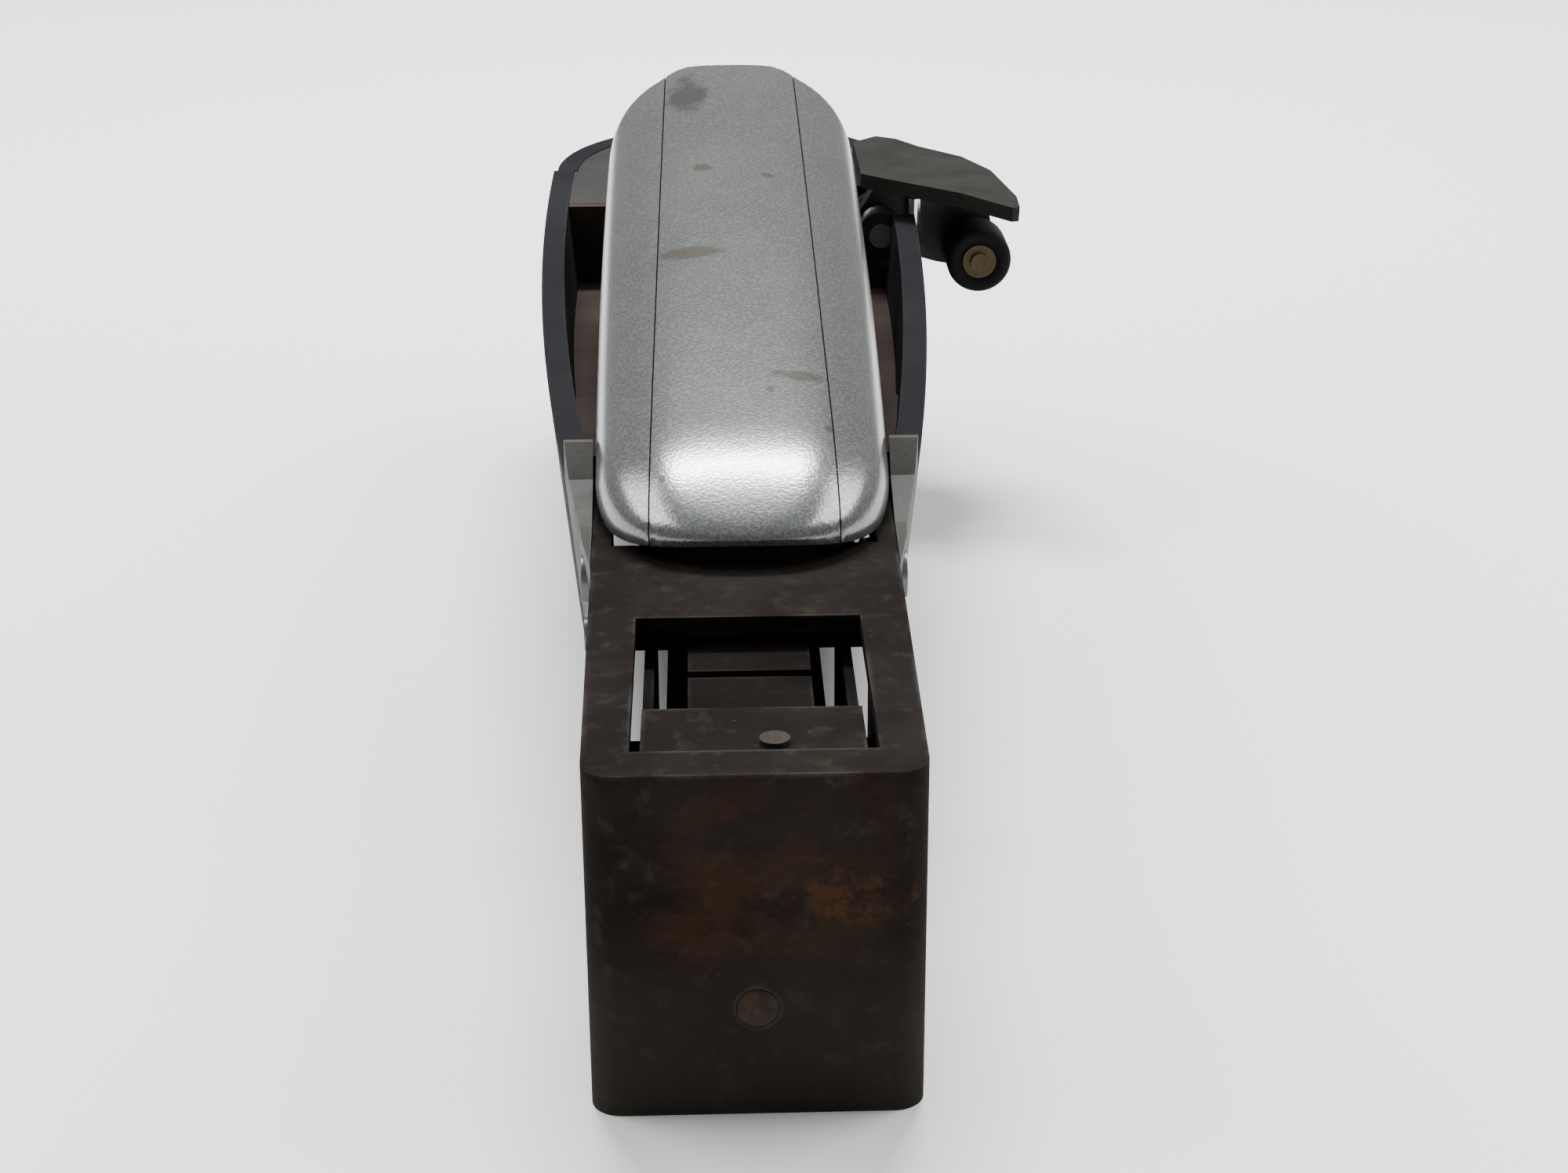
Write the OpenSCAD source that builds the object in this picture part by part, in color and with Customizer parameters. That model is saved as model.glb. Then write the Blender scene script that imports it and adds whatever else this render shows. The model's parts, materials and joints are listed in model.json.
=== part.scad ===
// Spring-driven hand stapler: steel nose, long squeeze handle, oval grip body,
// drop-in staple rail at the rear and a side release lever with a roller.
// Frame: +Z up, the nose faces -Y, and the underside of the magazine is at z = 0.

/* [Nose] */
// Width of the steel nose at its front face
nose_w = 24; // [20:0.5:28]
// Height of the nose
nose_h = 27; // [26:0.5:33]
// Thickness of the nose sheet
nose_sheet = 1.4; // [1:0.1:1.8]
// Outside radius of the two front bends
nose_corner = 2.2; // [1.9:0.1:3]
// Extra half width of the flanks at their rear end
nose_flare = 1; // [0:0.1:1.4]
// Length of the window in the top of the nose
window_len = 23.7; // [22:0.1:24.5]
// Thickness of the two cast cheeks at the handle pivot
cheek_t = 1; // [0.7:0.1:1.6]

/* [Handle] */
// Overall length of the handle
handle_len = 97; // [85:1:99]
// Width of the handle at its widest point
handle_w = 26.4; // [23:0.2:26.6]
// Height of the silver handle shell
handle_h = 7.4; // [6.4:0.2:10]
// Width of the centre strip at its front end
strip_w = 15.6; // [13:0.2:18]
// Wall of the handle shell
handle_wall = 1.5; // [1.2:0.1:1.8]
// Angle that the handle stands open at rest
handle_open = 10.6; // [9.4:0.2:11.4]
// Radius of the handle's pivot pin
pivot_r = 2; // [1.5:0.1:2.3]

/* [Grip] */
// Width of the grip at its widest point
grip_w = 41; // [39:0.5:48]
// Distance from the nose face to the rear end of the grip
grip_end = 168; // [164:1:190]
// Wall of the grip shells
grip_wall = 2.4; // [1.8:0.1:3]
// Height of the grip's top edge at its rear end
grip_rear_z = 35; // [34:0.5:38]
// Height of the floor of the open well
well_z = 24; // [22:0.2:25]

/* [Magazine] */
// Outside width of one staple
staple_w = 11.3; // [9.5:0.1:11.8]
// Height of one staple, crown to leg tips
staple_h = 7; // [5:0.2:7.4]
// Wall of the magazine channel
channel_wall = 0.9; // [0.7:0.1:1.1]
// Length of the loaded staple strip
strip_len = 66; // [30:1:72]

/* [Release lever] */
// Reach of the lever plate outward from its inner edge
plate_reach = 17.2; // [14.4:0.1:20.8]
// Thickness of the lever plate
plate_t = 1.6; // [1:0.1:2]
// Radius of the rubber roller
roller_r = 3.7; // [2.8:0.1:4]
// Length of the rubber roller
roller_len = 6.6; // [4:0.1:7.4]

/* [Hidden] */
$fn = 48;

eps = 0.01;
slip = 0.05;          // radial running clearance of a pin in its hole
fit = 0.05;           // gap between two pieces fixed to each other
front_y = -80;        // the nose face in the part's own frame

// window, plunger and spring
nose_len = 62;
window_w = 17.4;
window_y = 3.9;
guide_in = 7.3;       // inside half width of the plunger guide
guide_t = 0.8;
guide_top = nose_h - 3.5;
guide_end = 39;
flange_end = 60;      // the guide's base flanges close the nose from below as far as here
flange_gap = 0.1;
seat_end = 41.5;      // rear end of the spring seat
top_end = 43.2;       // rear end of the nose top
seat_z = nose_h - nose_sheet - 1.3;
foot_z = 12.2;        // underside of the plunger's foot
foot_t = 1.4;
spring_y = 33.2;
blade_y = 2.15;
blade_t = 0.8;
plunger_y = blade_y + blade_t + fit;
plunger_half = guide_in - 0.1;
cap_half = 8;
under_top = nose_h - nose_sheet - 6.8;  // the plunger clears the nose top at full lift from here

// handle pivot, rocker pivot and the pin that drives the rocker
pivot_y = 46;
pivot_z = 23;
rocker_y = 48;
rocker_z = 17;
rocker_pin_r = 1.5;
rocker_half = 4.7;      // half width of the rocker
rocker_sheet = 1;
tip_top = 18.6;
ledge_z = tip_top + 0.12;
actuator = [62.5, 19.6];
actuator_r = 1.5;

// handle section, in the handle's own frame at its pivot
handle_front = -7.3;
handle_low = 4.6;     // lower edge of the silver shell
handle_rise = 2.9;    // how far the lower edge lifts at the front
handle_top = handle_low + handle_h;
handle_power = 2.6;   // exponent of the section's rounded outline
handle_crown = 55;    // where the crown is highest
handle_bow = 2000;    // radius of the long side curves
front_reach = 16;     // how far the rounded front corners reach along the handle
rear_reach = 17;
seam = 0.15;          // gap on each side of the centre strip
strip_taper = 0.9;    // the strip is this much narrower at the rear, each side
liner_t = 1;
liner_lip = 0.8;      // the black liner shows this far below the silver shell
front_lip = 1.4;      // and this much further at its front end, just clear of the nose
arm_in = 6.4;         // inside half width of the handle frame
arm_t = 1.2;
frame_top = handle_top - handle_wall - liner_t - 1.4;
handle_spots = [24, 66];

// grip outline
split_top = 58;       // the front edge of the grip leans back toward the base
split_low = 66;
grip_low = 6;
grip_wide_y = 135;    // where the grip is widest
grip_proud = 3.6;     // how far the grip's front end stands out beyond the nose, each side
grip_bow = pow(grip_wide_y - split_top, 2) / (grip_w - nose_w - 2 * grip_proud);
grip_rear_r = 18;
grip_draft = 0.1;     // the walls lean in this much for each unit below their top
grip_front_z = 27.6;  // height of the grip's top edge at its front end
shelf_y = 67;
shelf_z = 26.6;
well_y = 84;
well_end = 137;
tray_t = 1.4;
tunnel_half = 7.4;
tunnel_top = 12;
screw_z = 17.4;
screw_spots = [92, 127];
screw_r = 1.3;

// magazine
channel_half = staple_w / 2 + 0.25 + channel_wall;
channel_top = 11;
channel_front = 3.2;
channel_end = 158;
bridge_top = 12;
staple_z = channel_wall + 0.3;
staple_wire = 0.55;
rail_half = staple_w / 2 - staple_wire - 0.35;
rail_top = staple_z + staple_h - staple_wire - 0.35;
rail_z = channel_wall + 0.1;
rail_wall = 0.8;
rail_front = 3.7;
rail_end = 158.3;
staples_y = 3.5;
pusher_y = staples_y + strip_len + 0.3;
pusher_len = 13;
rod_r = 0.9;
rod_z = staple_z + 2.8;
pull_end = grip_end + 3;

// release lever: its axle runs along Y
axle_x = 17.3;
axle_z = 30.1;
axle_r = 1.4;
boss_r = 2.8;
arm_y = 137.4;
arm_depth = 3;
notch = [131.6, 142.8];
roller_x = 28.45;
roller_z = 27.4;
pin_r = 1;
hub_r = 1.9;
plate_root = 15;      // inner edge of the plate
plate_root_z = 37.05;
plate_lean = 3.5;     // how steeply the plate falls outward

function flank_half(y) =
    nose_w / 2 + nose_flare * (y - nose_corner) / (nose_len - nose_corner);
function bow_half(y) = grip_w / 2 - pow(y - grip_wide_y, 2) / (2 * grip_bow);
function wall_half(y, z) = bow_half(y) - grip_draft * (grip_front_z - z);
function handle_half(y) = handle_w / 2 - pow(y - handle_crown, 2) / (2 * handle_bow);
function grip_top(y) =
    grip_front_z + (grip_rear_z - grip_front_z) * (y - split_top) / (165 - split_top);
function crown(y) = handle_top - pow(y - handle_crown, 2) / 2800;

// ---------------------------------------------------------------- helpers

// moves what is drawn from the nose face into the part's frame
module at_front() {
    translate([0, front_y, 0]) children();
}

// moves what is drawn in the handle's frame to where the handle rests
module at_handle() {
    translate([0, front_y + pivot_y, pivot_z]) rotate([handle_open, 0, 0]) children();
}

// a cylinder along X, centred on x = 0
module bar_x(r, len) {
    rotate([0, 90, 0]) cylinder(r = r, h = len, center = true);
}

// a cylinder along +Y from y = 0
module bar_y(r, len) {
    rotate([-90, 0, 0]) cylinder(r = r, h = len);
}

// a box given by its lowest and highest corners
module span(lo, hi) {
    translate(lo) cube(hi - lo);
}

// an outline drawn in (y, z), extruded along X from x0 over w
module side_plate(x0, w) {
    translate([x0, 0, 0]) rotate([90, 0, 90]) linear_extrude(w) children();
}

// an outline drawn in (x, z), extruded along +Y from y0 over d
module cross_plate(y0, d) {
    translate([0, y0 + d, 0]) rotate([90, 0, 0]) linear_extrude(d) children();
}

// draws its children and their mirror image in x
module both_sides() {
    children();
    mirror([1, 0, 0]) children();
}

// a coil along +Z: mean radius r, wire diameter w, height h, measured over the wire
module coil(r, w, h, turns, steps = 16, sides = 8) {
    n = turns * steps;
    rise = h - w;
    rings = [for (i = [0:n]) let (a = 360 * i / steps, z = w / 2 + rise * i / n)
        [for (k = [0:sides - 1]) let (b = 360 * k / sides, q = r + w / 2 * cos(b))
            [q * cos(a), q * sin(a), z + w / 2 * sin(b)]]];
    points = [for (ring = rings) for (p = ring) p];
    walls = [for (i = [0:n - 1]) for (k = [0:sides - 1]) let (m = (k + 1) % sides)
        [i * sides + k, i * sides + m, (i + 1) * sides + m, (i + 1) * sides + k]];
    first = [for (k = [sides - 1:-1:0]) k];
    last = [for (k = [0:sides - 1]) n * sides + k];
    polyhedron(points, concat(walls, [first, last]));
}

// ------------------------------------------------------------------- nose

// plan of the nose, set in by i, reaching back to y = end
module nose_plan(i, end) {
    r = nose_corner - i;
    h = nose_w / 2 - i;
    grow = nose_flare * (end - nose_corner) / (nose_len - nose_corner);
    polygon([[-h, nose_corner], [h, nose_corner], [h + grow, end], [-h - grow, end]]);
    translate([-h + r, i]) square([2 * (h - r), nose_corner - i + eps]);
    for (s = [-1, 1]) translate([s * (h - r), nose_corner]) circle(r);
}

module nose_housing() {
    inner = flank_half(top_end) - nose_sheet - 0.2;
    color("#2b2826") at_front() difference() {
        linear_extrude(nose_h) nose_plan(0, nose_len);
        translate([0, 0, -1])
            linear_extrude(nose_h - nose_sheet + 1) nose_plan(nose_sheet, nose_len + 1);
        span([-inner, top_end, 20], [inner, nose_len + 1, nose_h + 1]);
        span([-window_w / 2, window_y, nose_h - nose_sheet - 1],
             [window_w / 2, window_y + window_len, nose_h + 1]);
        translate([0, pivot_y, pivot_z]) bar_x(pivot_r + slip, nose_w * 2);
        translate([0, rocker_y, rocker_z]) bar_x(rocker_pin_r + slip, nose_w * 2);
        translate([0, -1, 8.7]) bar_y(1.5 + slip, nose_sheet + 2);
    }
}

module nose_rivet() {
    color("#5a3b22") at_front() translate([0, -0.25, 8.7]) bar_y(1.5, 2);
}

// folded guide that the plunger and the driver blade slide in
module guide_channel() {
    front = nose_sheet + fit;
    color("#4a4743") at_front() difference() {
        union() {
            both_sides() span([guide_in, front, 0.2], [guide_in + guide_t, guide_end, guide_top]);
            span([-guide_in - eps, front, 0.2], [guide_in + eps, front + 0.6, guide_top]);
            both_sides() translate([0, 0, 0.2]) linear_extrude(guide_t) polygon([
                [guide_in, front + 1], [flank_half(front + 1) - nose_sheet - flange_gap, front + 1],
                [flank_half(flange_end) - nose_sheet - flange_gap, flange_end],
                [guide_in, flange_end]]);
        }
        translate([0, 0, 8.7]) bar_y(1.5 + slip, 3);
    }
}

module spring_seat() {
    half = flank_half(30) - nose_sheet - 0.15;
    front = window_y + window_len + 0.05;
    color("#3a3734") at_front() {
        span([-half, front, seat_z], [half, seat_end, nose_h - nose_sheet - fit]);
        span([-rocker_half, 22.7, seat_z - 0.5], [rocker_half, front + 1.7, seat_z + 0.3]);
    }
}

// side view of the line where cheek and grip meet; g shifts it back
module ahead_of_split(g) {
    polygon([[20, -1], [split_low + g + 0.37, -1], [split_low + g - 2.2, grip_low],
             [split_top + g, grip_front_z], [split_top + g - 1.5, 40], [20, 40]]);
}

// cast cheek beside the right nose flank
module cheek() {
    in = fit;
    difference() {
        intersection() {
            linear_extrude(40) polygon([
                [flank_half(30) + in, 30], [flank_half(30) + 0.4, 30],
                [flank_half(pivot_y) + cheek_t, pivot_y], [bow_half(56), 56],
                [bow_half(61), 61], [bow_half(68), 68], [flank_half(68) + in, 68]]);
            drafted_sides(0);
            side_plate(0, 40) polygon([[29, nose_h - 4], [29, nose_h - 0.2], [47, nose_h + 0.3],
                [54, nose_h + 2], [57, nose_h + 4.4], [59, nose_h + 4.6], [68, 25], [68, 8],
                [50, 8]]);
            union() {
                side_plate(0, 40) ahead_of_split(0);
                intersection() {
                    span([0, 30, 9], [flank_half(60) + 0.5, 68, 24]);
                    drafted_sides(grip_wall + fit);
                }
            }
        }
        translate([0, pivot_y, pivot_z]) bar_x(pivot_r + slip, nose_w * 3);
        translate([0, rocker_y, rocker_z]) bar_x(rocker_pin_r + slip, nose_w * 3);
    }
}

module cheek_right() {
    color("#a7abab") at_front() cheek();
}

module cheek_left() {
    color("#a7abab") at_front() mirror([1, 0, 0]) cheek();
}

// ------------------------------------------------------------------- grip

// plan of the grip, set in by i, from y = start back
module grip_plan(i, start) {
    r = grip_rear_r - i;
    half = grip_w / 2 - i + 2;
    translate([-half, start]) square([2 * half, grip_end - i - r - start]);
    translate([-half + r + 2, start]) square([2 * (half - r - 2), grip_end - i - start]);
    for (s = [-1, 1]) translate([s * (half - r - 2), grip_end - i - r]) circle(r);
}

// the two long walls, bowed and drafted, set in by i
module drafted_sides(i) {
    r = grip_bow - i;
    lean = grip_draft * grip_front_z;
    top = 50;
    intersection_for (s = [-1, 1])
        translate([s * (grip_bow - grip_w / 2), grip_wide_y, 0])
            cylinder(r1 = r - lean, r2 = r - lean + grip_draft * top, h = top, $fn = 360);
}

// the space inside the grip's outline, set in by i, up to z = high
module grip_block(i, start, high) {
    intersection() {
        linear_extrude(high) grip_plan(i, start);
        drafted_sides(i);
    }
}

// the left half of the grip: side wall and half of the rear wall
module grip_half() {
    difference() {
        grip_block(0, 50, 40);
        grip_block(grip_wall, 40, 41);
        side_plate(-60, 120) ahead_of_split(0.15);
        linear_extrude(nose_h) nose_plan(-fit, nose_len + fit);
        side_plate(-60, 120) polygon([[40, grip_top(40)], [grip_end + 9, grip_top(grip_end + 9)],
                                      [grip_end + 9, 50], [40, 50]]);
        span([-40, 40, -1], [40, grip_end + 9, grip_low]);
        span([-fit / 2, 40, -1], [60, grip_end + 9, 50]);
        span([-tunnel_half, grip_end - 9, 0], [tunnel_half, grip_end + 9, tunnel_top]);
        for (y = screw_spots) translate([-40, 0, 0]) translate([0, y, screw_z])
            bar_x(screw_r + slip, 80);
        for (y = screw_spots) translate([-wall_half(y, screw_z) - 20 + 1, y, screw_z])
            bar_x(2 * screw_r + 0.1, 40);
    }
}

module grip_left() {
    color("#16171a") at_front() grip_half();
}

module grip_right() {
    color("#16171a") at_front() difference() {
        mirror([1, 0, 0]) grip_half();
        span([13, notch[0], well_z + 0.5], [40, notch[1], 50]);
    }
}

// floor of the well with its two ribs, its front shelf and its rear wall
module grip_tray() {
    low = well_z - tray_t;
    color("#211d1b") at_front() difference() {
        union() {
            intersection() {
                grip_block(grip_wall + fit, 50, 49);
                side_plate(-60, 120) polygon([
                    [shelf_y, shelf_z - tray_t], [well_y - 1.4, shelf_z - tray_t],
                    [well_y - 1.4, low], [well_end + 0.3, low],
                    [well_end + 0.3, grip_top(well_end) - 0.1],
                    [well_end - 1, grip_top(well_end) - 0.1],
                    [well_end - 1, well_z], [well_y, well_z], [well_y, shelf_z],
                    [shelf_y, shelf_z]]);
            }
            for (y = screw_spots) intersection() {
                grip_block(grip_wall + fit, 50, low + eps);
                span([-40, y - 2.6, channel_top + fit], [40, y + 2.6, low + eps]);
            }
        }
        for (y = screw_spots) translate([0, y, screw_z]) bar_x(screw_r + slip, 90);
        span([14.3, well_end - 2, well_z], [40, well_end + 2, 50]);
    }
}

module rear_deck() {
    gap = 0.1;
    start = well_end + 0.35;
    color("#3b3d40") at_front() difference() {
        intersection() {
            grip_block(grip_wall + fit, 50, 49);
            side_plate(-60, 120) polygon([
                [start, grip_top(start) - 1.8], [grip_end, grip_top(grip_end) - 1.8],
                [grip_end, grip_top(grip_end) - gap], [start, grip_top(start) - gap]]);
        }
        span([14.3, start - 2, 20], [40, notch[1] + 0.2, 50]);
    }
}

// one grip screw on the right: pan head in the wall, shank into the rib
module grip_screw(y) {
    face = wall_half(y, screw_z) - 1;
    head = 0.9;
    shank = 8;
    translate([0, y, screw_z]) {
        translate([face + 0.02 + head / 2, 0, 0]) bar_x(2 * screw_r, head);
        translate([face + 0.03 - shank / 2, 0, 0]) bar_x(screw_r, shank);
    }
}

module grip_screws() {
    color("#6f7276") at_front() both_sides() for (y = screw_spots) grip_screw(y);
}

// --------------------------------------------------------------- magazine

module magazine_channel() {
    color("#54575a") at_front() difference() {
        span([-channel_half, channel_front, 0], [channel_half, channel_end, channel_top]);
        span([-channel_half + channel_wall, channel_front - 1, channel_wall],
             [channel_half - channel_wall, channel_end + 1, channel_top + 1]);
    }
}

// plate over the front of the channel, holding it between the guide plates
module channel_bridge() {
    color("#54575a") at_front() {
        span([-channel_half, channel_front + 0.1, channel_top + eps],
             [channel_half, 60, bridge_top]);
        both_sides() span([channel_half - 1, channel_front + 1, channel_top + eps],
                          [guide_in - 0.01, guide_end, bridge_top]);
        span([-2.6, channel_front + 0.8, staple_z + staple_h + 0.15],
             [2.6, 60, channel_top + 0.1]);
    }
}

// spring leaf over the rear of the channel that the rail pull clicks into
module catch_leaf() {
    color("#7d8084") at_front() {
        span([-channel_half, 140, channel_top + eps], [channel_half, 157.5, channel_top + 0.6]);
        span([-2.5, 157, channel_top + eps], [2.5, 163, channel_top + 0.6]);
    }
}

// one staple wire outline repeated as a glued strip
module staples() {
    color("#b9bcc0") at_front() cross_plate(staples_y, strip_len) difference() {
        translate([-staple_w / 2, staple_z]) square([staple_w, staple_h]);
        translate([-staple_w / 2 + staple_wire, staple_z - 1])
            square([staple_w - 2 * staple_wire, staple_h + 1 - staple_wire]);
    }
}

module staple_rail() {
    color("#8e9194") at_front() cross_plate(rail_front, rail_end - rail_front) difference() {
        translate([-rail_half, rail_z]) square([2 * rail_half, rail_top - rail_z]);
        translate([-rail_half + rail_wall, rail_z + rail_wall])
            square([2 * (rail_half - rail_wall), rail_top]);
    }
}

module guide_rod() {
    color("#a0a3a6") at_front() translate([0, pusher_y - 6, rod_z])
        bar_y(rod_r, rail_end + 2 - pusher_y + 6);
}

// rear stopper of the rail with the lip the fingers pull on
module rail_pull() {
    half = channel_half - channel_wall - 0.15;
    start = rail_end + fit;
    color("#1b1c1e") at_front() difference() {
        union() {
            span([-half, start, 0.4], [half, pull_end, channel_top - 0.2]);
            span([-half - 0.5, grip_end + 0.4, 0.4], [half + 0.5, pull_end, 4.2]);
        }
        translate([0, start - 1, rod_z]) bar_y(rod_r + eps, 4);
    }
}

module pusher() {
    half = staple_w / 2 - 0.1;
    wall_in = rail_half - rail_wall - 0.1;
    color("#c0a15a") at_front() difference() {
        span([-half, pusher_y, staple_z + 0.1],
             [half, pusher_y + pusher_len, staple_z + staple_h - 0.05]);
        both_sides() span([wall_in, pusher_y - 1, 0], [rail_half + 0.1, pusher_y + 20,
                                                      rail_top + 0.1]);
        span([-wall_in - eps, pusher_y - 1, 0], [wall_in + eps, pusher_y + 20,
                                                rail_z + rail_wall + 0.15]);
        translate([0, pusher_y - 1, rod_z]) bar_y(rod_r + slip, pusher_len + 2);
    }
}

module pusher_spring() {
    start = pusher_y + pusher_len + 0.05;
    color("#9a9da0") at_front() translate([0, start, rod_z]) rotate([-90, 0, 0])
        coil(1.5, 0.55, rail_end - start, 20, 12, 6);
}

// ----------------------------------------------------- pins and springs

// headed pin across the nose: plain shank with two shallow end heads
module pivot_pin() {
    color("#8b8f93") at_front() translate([0, pivot_y, pivot_z])
        bar_x(pivot_r, 2 * (flank_half(pivot_y) + cheek_t));
}

module rocker_pin() {
    color("#8b8f93") at_front() translate([0, rocker_y, rocker_z])
        bar_x(rocker_pin_r, 2 * (flank_half(rocker_y) + cheek_t));
}

module main_spring() {
    low = foot_z + foot_t + fit;
    color("#6d6f72") at_front() translate([0, spring_y, low])
        coil(3, 0.9, seat_z - fit - low, 3.5, 20, 8);
}

module return_spring() {
    color("#6d6f72") at_front() translate([8, pivot_y, pivot_z]) rotate([0, 90, 0])
        coil(2.75, 0.75, 2.9, 3, 20, 8);
}

module bumper() {
    color("#141414") at_front() span([-7, 71, shelf_z + 0.01], [7, 80, shelf_z + 0.8]);
}

// ----------------------------------------------------------------- handle

// cross-section of the handle, set in by i, reaching down to z = low
module handle_section(i, low) {
    half = handle_w / 2 - i;
    h = handle_h - i;
    n = 10;
    arc = [for (k = [0:n]) let (a = 90 * k / n)
        [half * pow(cos(a), 2 / handle_power), handle_low + h * pow(sin(a), 2 / handle_power)]];
    polygon(concat([[-half, low], [half, low]], arc,
                   [for (k = [n - 1:-1:0]) [-arc[k][0], arc[k][1]]]));
}

// side view of the handle, set in by i; drop lowers its underside, lip its front end further
module handle_profile(i, drop, lip) {
    front = handle_front + i;
    back = handle_front + handle_len - i;
    nose_at = 8;
    near = 0.4;     // share of the drop left where the rim passes close over the nose
    nose_low = handle_low + handle_rise + 0.2;
    top = crown(front + nose_at) - i;
    polygon(concat(
        [[back, handle_low - drop], [back, crown(back) - i - 2.5], [back - 1.5, crown(back) - i]],
        [for (y = [75, 55, 35, 15, 3]) [y, crown(y) - i]],
        [for (a = [90:-15:0]) [front + nose_at * (1 - cos(a)), nose_low + (top - nose_low) * sin(a)]],
        [[front, handle_low + handle_rise - drop - lip], [-4, handle_low + 0.9 - drop * near],
         [2, handle_low - drop * near], [9, handle_low - drop]]));
}

// plan of the handle, set in by i: bowed sides, well rounded ends
module handle_plan(i) {
    front = handle_front + i;
    back = handle_front + handle_len - i;
    n = 8;
    ahead = [for (k = [0:n]) let (a = 90 * k / n)
        [(handle_half(front + front_reach) - i) * pow(sin(a), 2 / 2.5),
         front + (front_reach - i) * (1 - pow(cos(a), 2 / 2.5))]];
    middle = [for (y = [20:12:68]) [handle_half(y) - i, y]];
    behind = [for (k = [n:-1:0]) let (a = 90 * k / n)
        [(handle_half(back - rear_reach) - i) * pow(sin(a), 2 / 2.2),
         back - (rear_reach - i) * (1 - pow(cos(a), 2 / 2.2))]];
    right = concat(ahead, middle, behind);
    m = len(right);
    polygon(concat(right, [for (k = [m - 2:-1:1]) [-right[k][0], right[k][1]]]));
}

module handle_solid(i, drop, lip = 0) {
    intersection() {
        cross_plate(handle_front - 1, handle_len + 2) handle_section(i, -2);
        side_plate(-handle_w, 2 * handle_w) handle_profile(i, drop, lip);
        translate([0, 0, -5]) linear_extrude(40) handle_plan(i);
    }
}

module handle_skin() {
    difference() {
        handle_solid(0, 0);
        handle_solid(handle_wall, 4);
        for (y = handle_spots) translate([0, y, 0]) cylinder(r = 1.25, h = crown(y) - 0.6);
    }
}

// plan of the centre strip, widened by g each side
module strip_plan(g) {
    a = strip_w / 2 + g;
    b = a - strip_taper;
    polygon([[-a, handle_front - 1], [a, handle_front - 1],
             [b, handle_front + handle_len + 1], [-b, handle_front + handle_len + 1]]);
}

module handle_strip() {
    color("#b4b8ba") at_handle() intersection() {
        handle_skin();
        linear_extrude(40) strip_plan(0);
    }
}

module handle_side() {
    difference() {
        handle_skin();
        linear_extrude(40) strip_plan(seam);
        translate([-40, -60, -10]) cube([40, 200, 60]);
    }
}

module handle_side_right() {
    color("#b4b8ba") at_handle() handle_side();
}

module handle_side_left() {
    color("#b4b8ba") at_handle() mirror([1, 0, 0]) handle_side();
}

// black liner nested in the silver shell, showing as a rim below it
module handle_liner() {
    i = handle_wall + fit;
    color("#17181a") at_handle() difference() {
        handle_solid(i, liner_lip, front_lip);
        handle_solid(i + liner_t, 4);
        for (y = handle_spots) translate([0, y, 0]) cylinder(r = 1.25, h = 20);
    }
}

// steel lever inside the handle: a channel with two ears down to the pivot
module handle_frame() {
    a = rot_back(actuator[0] - pivot_y, actuator[1] - pivot_z);
    top = frame_top;
    back = handle_front + handle_len - handle_wall - liner_t - 6.5;
    ear = [[-3.3, -0.6], [-3.2, 1.6], [-1.7, 3], [-1.2, 6.9], [2, top], [back, top],
           [back, handle_low + 0.4],
           [18, handle_low - 1], [a[0] + 2.5, a[1] + 1], [a[0] + 1.4, a[1] - 2.2],
           [a[0] - 1.8, a[1] - 2.2], [2.5, -3.2], [-2.5, -3.2]];
    color("#5f6164") at_handle() difference() {
        union() {
            both_sides() side_plate(arm_in, arm_t) polygon(ear);
            span([-arm_in - 0.1, 20, top - 1.2], [arm_in + 0.1, back, top]);
        }
        bar_x(pivot_r + slip, 40);
        translate([0, a[0], a[1]]) bar_x(actuator_r + eps, 40);
        for (y = handle_spots) translate([0, y, 0]) cylinder(r = 1.25, h = 20);
    }
}

function rot_back(y, z) = [y * cos(handle_open) + z * sin(handle_open),
                           z * cos(handle_open) - y * sin(handle_open)];

module handle_screws() {
    color("#8b8f93") at_handle() for (y = handle_spots) translate([0, y, 0]) {
        translate([0, 0, frame_top - 2.4]) cylinder(r = 2.3, h = 1.2 - fit);
        translate([0, 0, frame_top - 2.4]) cylinder(r = 1.2, h = crown(y) - 0.7 - frame_top + 2.4);
    }
}

module actuator_pin() {
    color("#8b8f93") at_front() translate([0, actuator[0], actuator[1]])
        bar_x(actuator_r, 2 * (arm_in + arm_t));
}

// ----------------------------------------------------- rocker and plunger

module rocker() {
    outline = [[7.7, 17], [7.7, tip_top], [12.4, tip_top], [13.4, 24.4], [22, 24.4], [21.5, 21.5],
               [21.2, 19.4], [30, 19.4], [49, 20], [58, 18], [64.5, 18], [64.5, 15.8],
               [52, 14.4], [45, 14.2], [28, 15], [13, 16.4]];
    color("#46433f") at_front() difference() {
        side_plate(-rocker_half, 2 * rocker_half) polygon(outline);
        span([-rocker_half + rocker_sheet, 13.5, 10], [rocker_half - rocker_sheet, 57, 22.6]);
        translate([0, rocker_y, rocker_z]) bar_x(rocker_pin_r + slip, 40);
    }
}

module plunger() {
    y = plunger_y;
    top = nose_h - 1;
    web_y = window_y + 0.1;
    foot_half = rocker_half - rocker_sheet - 0.2;
    color("#332e2a") at_front() difference() {
        union() {
            span([-plunger_half, y, foot_z], [plunger_half, web_y + 1.4, under_top]);
            span([-plunger_half, web_y, under_top - eps], [plunger_half, web_y + 1.4, top]);
            span([-cap_half, web_y, top - 1.3], [cap_half, 13, top]);
            span([-plunger_half, web_y, ledge_z], [plunger_half, 9, ledge_z + 1.6]);
            span([-foot_half, y, foot_z], [foot_half, spring_y + 4.2, foot_z + foot_t]);
        }
        for (x = [-4, 4]) translate([x, 0, 15]) bar_y(0.9 + slip, 8);
    }
}

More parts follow.
